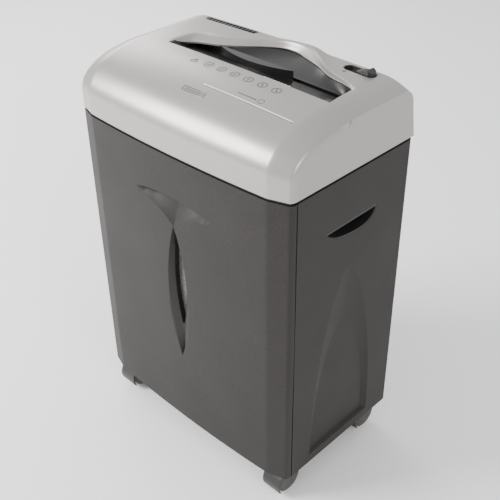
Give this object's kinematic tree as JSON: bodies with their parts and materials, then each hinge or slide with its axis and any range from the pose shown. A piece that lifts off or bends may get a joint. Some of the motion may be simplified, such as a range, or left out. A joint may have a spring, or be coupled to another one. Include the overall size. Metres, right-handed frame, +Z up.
{
  "type": "paper shredder",
  "caption": "Free-standing cross-cut paper shredder with a pull-out waste bin, window, carrying recesses and hooded casters.",
  "frame": {"origin": "on the floor under the middle of the plan", "axes": "+X to the right seen from the front, -Y out of the front, +Z up"},
  "size_m": [0.36, 0.23, 0.5561],
  "materials": {
    "silver_shell": "satin silver paint with a fine metallic flake",
    "charcoal_panel": "charcoal brown, fine speckled texture",
    "gloss_black": "polished black",
    "black_plastic": "fine-grained black",
    "bin_plastic": "plain moulded dark grey",
    "smoked_pane": "smoked translucent",
    "wheel_plastic": "smooth dark grey nylon",
    "plate_metal": "brushed, blank",
    "lens": "clear dark green",
    "cutter_steel": "hardened, ground",
    "plate_steel": "zinc plated",
    "comb_plastic": "moulded",
    "bushing_brass": "sintered bronze",
    "gear_nylon": "natural nylon",
    "gear_steel": "sintered",
    "screw_steel": "zinc plated",
    "board_green": "solder mask",
    "board_dark": "moulded"
  },
  "bodies": {
    "cabinet": {"top_cover": "silver_shell", "side_panel_left": "charcoal_panel", "side_panel_right": "charcoal_panel", "back_panel": "charcoal_panel", "throat_insert": "gloss_black", "disc_guard": "gloss_black", "head_pan": "black_plastic", "base_plate": "black_plastic", "handle_cup_left": "black_plastic", "handle_cup_right": "black_plastic", "vent_grille": "black_plastic", "switch_bezel": "black_plastic", "cord_gland": "black_plastic", "interlock_housing": "black_plastic", "slide_switch": "black_plastic", "bin_rail_left": "bin_plastic", "bin_rail_right": "bin_plastic", "name_plate": "plate_metal", "status_lens": "lens", "cutter_plate_left": "plate_steel", "cutter_plate_right": "plate_steel", "tie_rods": "plate_steel", "middle_pin": "plate_steel", "motor_can": "plate_steel", "paper_guide_front": "plate_steel", "paper_guide_rear": "plate_steel", "comb_plates_front": "comb_plastic", "comb_plates_rear": "comb_plastic", "shaft_bushings": "bushing_brass", "panel_screws": "screw_steel", "cover_screws": "screw_steel", "motor_screws": "screw_steel", "control_board": "board_green", "board_parts": "board_dark", "paper_sensors": "board_dark"},
    "bin": {"bin_front_panel": "charcoal_panel", "bin_window": "smoked_pane", "bin_tub": "bin_plastic", "bin_screws": "screw_steel"},
    "switch_knob": {"switch_knob": "black_plastic"},
    "interlock_plunger": {"interlock_plunger": "comb_plastic"},
    "cutter_front": {"cutter_shaft_front": "cutter_steel", "cutter_discs_front": "cutter_steel", "sync_gear_front": "gear_steel", "drive_gear": "gear_steel"},
    "cutter_rear": {"cutter_shaft_rear": "cutter_steel", "cutter_discs_rear": "cutter_steel", "sync_gear_rear": "gear_steel"},
    "middle_gear": {"middle_gear": "gear_nylon"},
    "rotor": {"motor_rotor": "plate_steel", "motor_pinion": "plate_steel", "motor_fan": "gear_nylon"},
    "caster_front_left": {"caster_hood_front_left": "black_plastic"},
    "wheels_front_left": {"caster_wheels_front_left": "wheel_plastic"},
    "caster_front_right": {"caster_hood_front_right": "black_plastic"},
    "wheels_front_right": {"caster_wheels_front_right": "wheel_plastic"},
    "caster_rear_left": {"caster_hood_rear_left": "black_plastic"},
    "wheels_rear_left": {"caster_wheels_rear_left": "wheel_plastic"},
    "caster_rear_right": {"caster_hood_rear_right": "black_plastic"},
    "wheels_rear_right": {"caster_wheels_rear_right": "wheel_plastic"}
  },
  "joints": [
    {"name": "bin_slide", "type": "slide", "parent": "cabinet", "child": "bin", "axis": [0, -1, 0], "range_m": [0, 0.25]},
    {"name": "switch_slide", "type": "slide", "parent": "cabinet", "child": "switch_knob", "axis": [-1, 0, 0], "range_m": [0, 0.016]},
    {"name": "interlock_travel", "type": "slide", "parent": "cabinet", "child": "interlock_plunger", "axis": [0, -1, 0], "range_m": [0, 0.003]},
    {"name": "cutter_front_spin", "type": "hinge", "parent": "cabinet", "child": "cutter_front", "pos_m": [0, 0.021, 0.468], "axis": [1, 0, 0], "continuous": true},
    {"name": "cutter_rear_spin", "type": "hinge", "parent": "cabinet", "child": "cutter_rear", "pos_m": [0, 0.051, 0.468], "axis": [1, 0, 0], "continuous": true},
    {"name": "middle_gear_spin", "type": "hinge", "parent": "cabinet", "child": "middle_gear", "pos_m": [0, -0.01101, 0.48501], "axis": [1, 0, 0], "continuous": true},
    {"name": "rotor_spin", "type": "hinge", "parent": "cabinet", "child": "rotor", "pos_m": [0, -0.047, 0.484], "axis": [1, 0, 0], "continuous": true},
    {"name": "swivel_front_left", "type": "hinge", "parent": "cabinet", "child": "caster_front_left", "pos_m": [-0.153, -0.089, 0.04], "axis": [0, 0, 1], "continuous": true},
    {"name": "roll_front_left", "type": "hinge", "parent": "caster_front_left", "child": "wheels_front_left", "pos_m": [-0.153, -0.08, 0.02], "axis": [1, 0, 0], "continuous": true},
    {"name": "swivel_front_right", "type": "hinge", "parent": "cabinet", "child": "caster_front_right", "pos_m": [0.153, -0.089, 0.04], "axis": [0, 0, 1], "continuous": true},
    {"name": "roll_front_right", "type": "hinge", "parent": "caster_front_right", "child": "wheels_front_right", "pos_m": [0.153, -0.08, 0.02], "axis": [1, 0, 0], "continuous": true},
    {"name": "swivel_rear_left", "type": "hinge", "parent": "cabinet", "child": "caster_rear_left", "pos_m": [-0.153, 0.077, 0.04], "axis": [0, 0, 1], "continuous": true},
    {"name": "roll_rear_left", "type": "hinge", "parent": "caster_rear_left", "child": "wheels_rear_left", "pos_m": [-0.153, 0.086, 0.02], "axis": [1, 0, 0], "continuous": true},
    {"name": "swivel_rear_right", "type": "hinge", "parent": "cabinet", "child": "caster_rear_right", "pos_m": [0.153, 0.077, 0.04], "axis": [0, 0, 1], "continuous": true},
    {"name": "roll_rear_right", "type": "hinge", "parent": "caster_rear_right", "child": "wheels_rear_right", "pos_m": [0.153, 0.086, 0.02], "axis": [1, 0, 0], "continuous": true}
  ],
  "couplings": [
    {"joint": "interlock_travel", "follows": "bin_slide", "ratio": 0.012},
    {"joint": "cutter_rear_spin", "follows": "cutter_front_spin", "ratio": -1},
    {"joint": "middle_gear_spin", "follows": "cutter_front_spin", "ratio": -2.2222},
    {"joint": "rotor_spin", "follows": "cutter_front_spin", "ratio": 8.8889}
  ]
}
